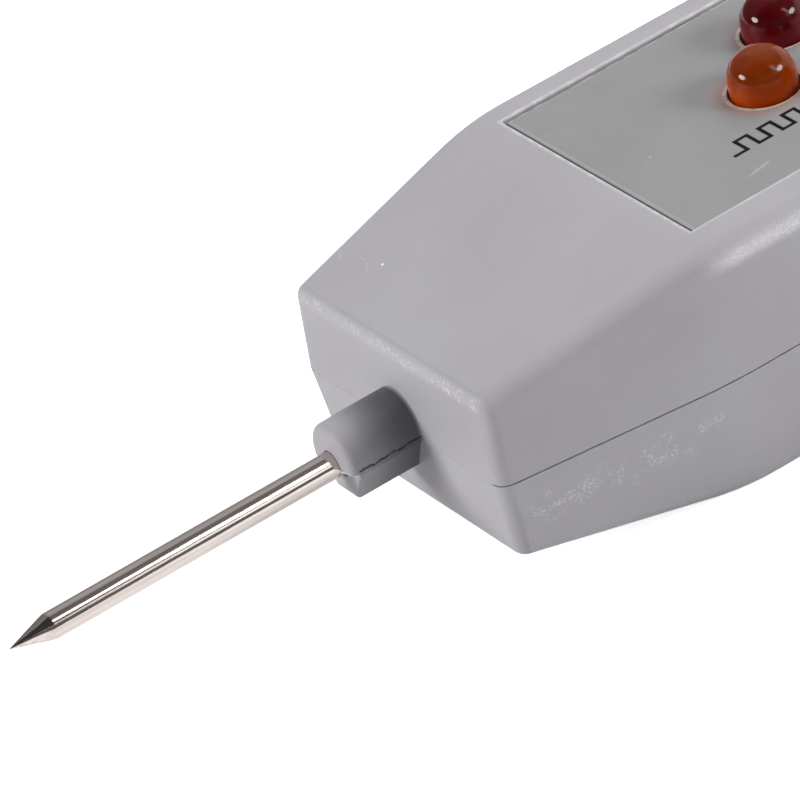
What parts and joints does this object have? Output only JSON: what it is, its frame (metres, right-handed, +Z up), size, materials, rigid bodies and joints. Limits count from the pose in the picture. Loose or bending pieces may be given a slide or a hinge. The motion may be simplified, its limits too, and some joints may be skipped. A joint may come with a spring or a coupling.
{
  "type": "logic probe",
  "caption": "Hand-held logic probe with a tapered two-shell grey housing, a pointed steel contact pin, domed indicator lamps and slide switches on a recessed panel.",
  "frame": {"origin": "middle of the overall length and width, on the bench that the flat underside lies on", "axes": "+X along the probe from the pin's point to the rear face, +Z up out of the panel that carries the lamps and switches, -Y is the near side in the picture"},
  "size_m": [0.1866, 0.0296, 0.0228],
  "materials": {
    "housing": "satin moulded",
    "panel": "semi-gloss",
    "pin": "turned and plated",
    "clip": "plain",
    "board": "lacquered laminate",
    "amber_lens": "translucent",
    "red_lens": "translucent",
    "green_lens": "translucent",
    "tinned": "tinned",
    "black_plastic": "moulded",
    "resistor_body": "lacquered",
    "diode_body": "glass",
    "capacitor_sleeve": "sleeved",
    "screw": "plated",
    "gland": "moulded"
  },
  "bodies": {
    "housing": {"upper_shell": "housing", "lower_shell": "housing", "panel": "panel", "contact_pin": "pin", "pin_clip": "clip", "circuit_board": "board", "front_lamp": "amber_lens", "far_lamp": "red_lens", "near_lamp": "green_lens", "lamp_leads": "tinned", "comparator_chip": "black_plastic", "logic_chip": "black_plastic", "chip_pins": "tinned", "range_switch": "tinned", "memory_switch": "tinned", "resistors": "resistor_body", "input_diodes": "diode_body", "memory_capacitor": "capacitor_sleeve", "lamp_drivers": "black_plastic", "supply_posts": "tinned", "case_screws": "screw", "cord_gland": "gland"},
    "range_slide": {"range_slider": "black_plastic"},
    "memory_slide": {"memory_slider": "black_plastic"}
  },
  "joints": [
    {"name": "range_slide_travel", "type": "slide", "parent": "housing", "child": "range_slide", "axis": [1, 0, 0], "range_m": [0, 0.002]},
    {"name": "memory_slide_travel", "type": "slide", "parent": "housing", "child": "memory_slide", "axis": [1, 0, 0], "range_m": [0, 0.002]}
  ]
}
